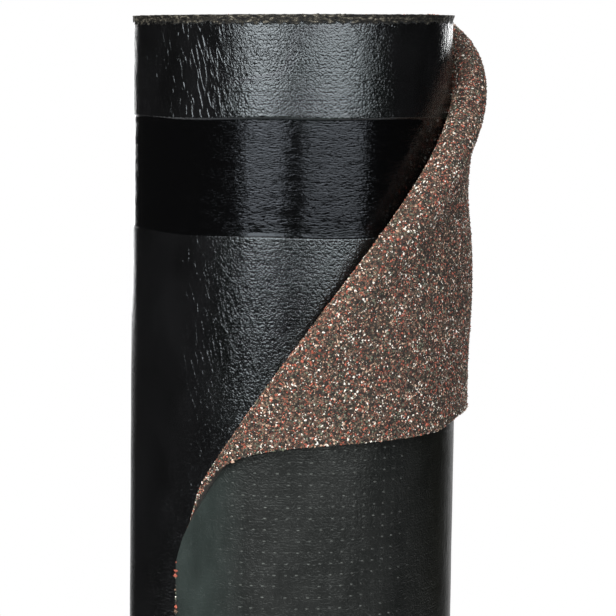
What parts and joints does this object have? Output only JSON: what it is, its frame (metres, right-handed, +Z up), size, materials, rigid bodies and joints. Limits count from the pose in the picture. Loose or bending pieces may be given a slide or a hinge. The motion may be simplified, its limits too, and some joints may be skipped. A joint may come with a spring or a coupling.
{
  "type": "roll of roofing felt",
  "caption": "Standing roll of mineral roofing felt, film side out, with a plain bore, spiral turns on both ends and the outer top corner peeled back over the roll.",
  "frame": {"origin": "on the roll's axis, in the plane of the end it stands on", "axes": "+Z up along the bore axis; the picture's front is the -Y side, with +X to its right"},
  "size_m": [0.2102, 0.2081, 1],
  "materials": {
    "felt": "black bitumen film, semi-gloss"
  },
  "bodies": {
    "root": {"felt_roll": "felt"}
  },
  "joints": []
}
